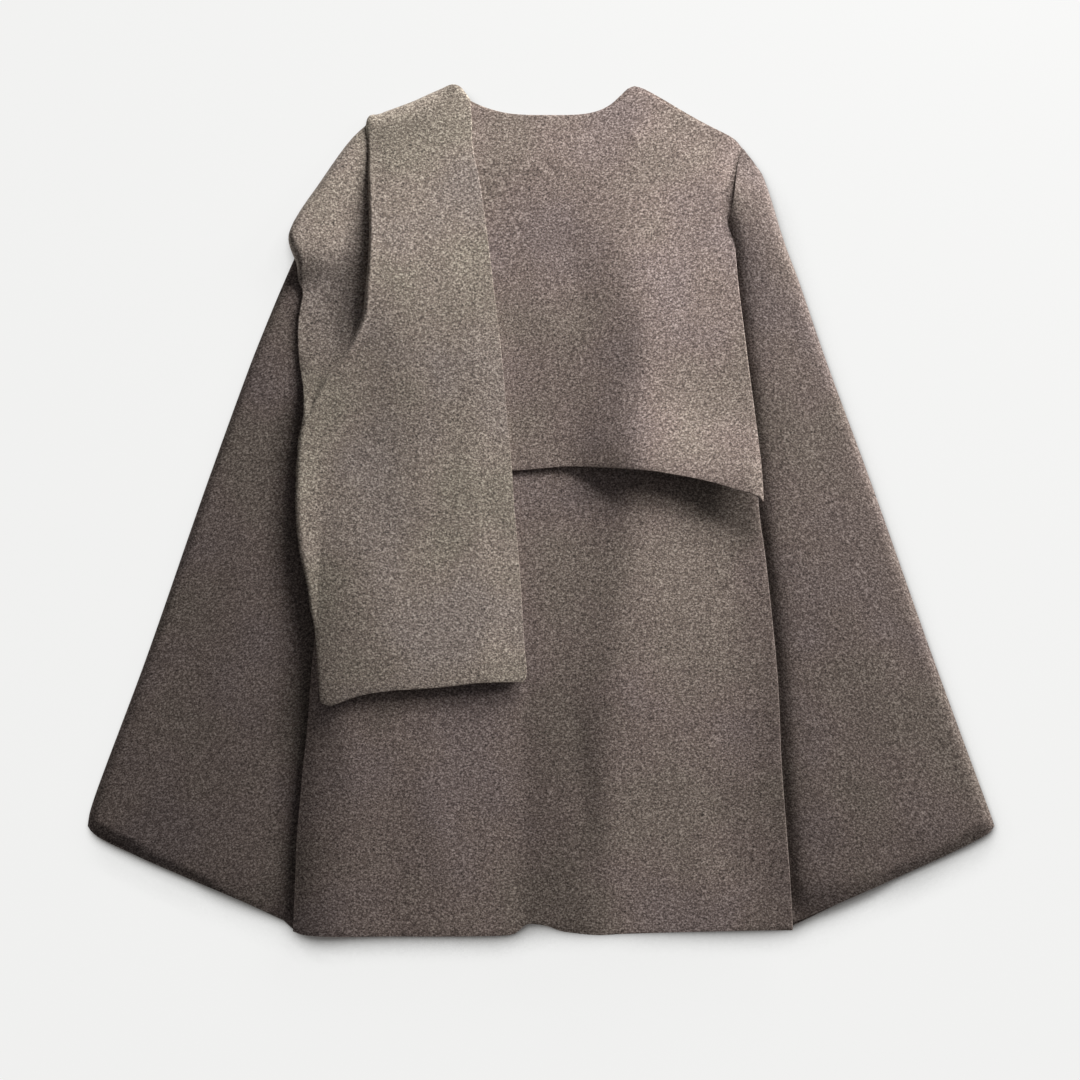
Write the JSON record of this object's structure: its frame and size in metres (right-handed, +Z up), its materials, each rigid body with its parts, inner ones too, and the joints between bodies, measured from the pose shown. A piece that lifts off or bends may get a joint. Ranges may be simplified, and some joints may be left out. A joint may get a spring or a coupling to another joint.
{
  "type": "wool cape coat",
  "caption": "Wool cape coat laid flat, face up: flared body, wide plain sleeves, a loose capelet on the right shoulder and a scarf panel over the left.",
  "frame": {"origin": "on the surface that the coat lies on, under the middle of its outline", "axes": "+X to the right of the coat seen from above with the neck at the top, across both sleeves; +Y from hem to neck; +Z up from the surface"},
  "size_m": [0.949, 0.8916, 0.0405],
  "materials": {
    "wool": "brushed double-faced melange, matt"
  },
  "bodies": {
    "root": {"back": "wool", "sleeve_front_left": "wool", "sleeve_front_right": "wool", "front": "wool", "capelet": "wool", "scarf": "wool"}
  },
  "joints": []
}
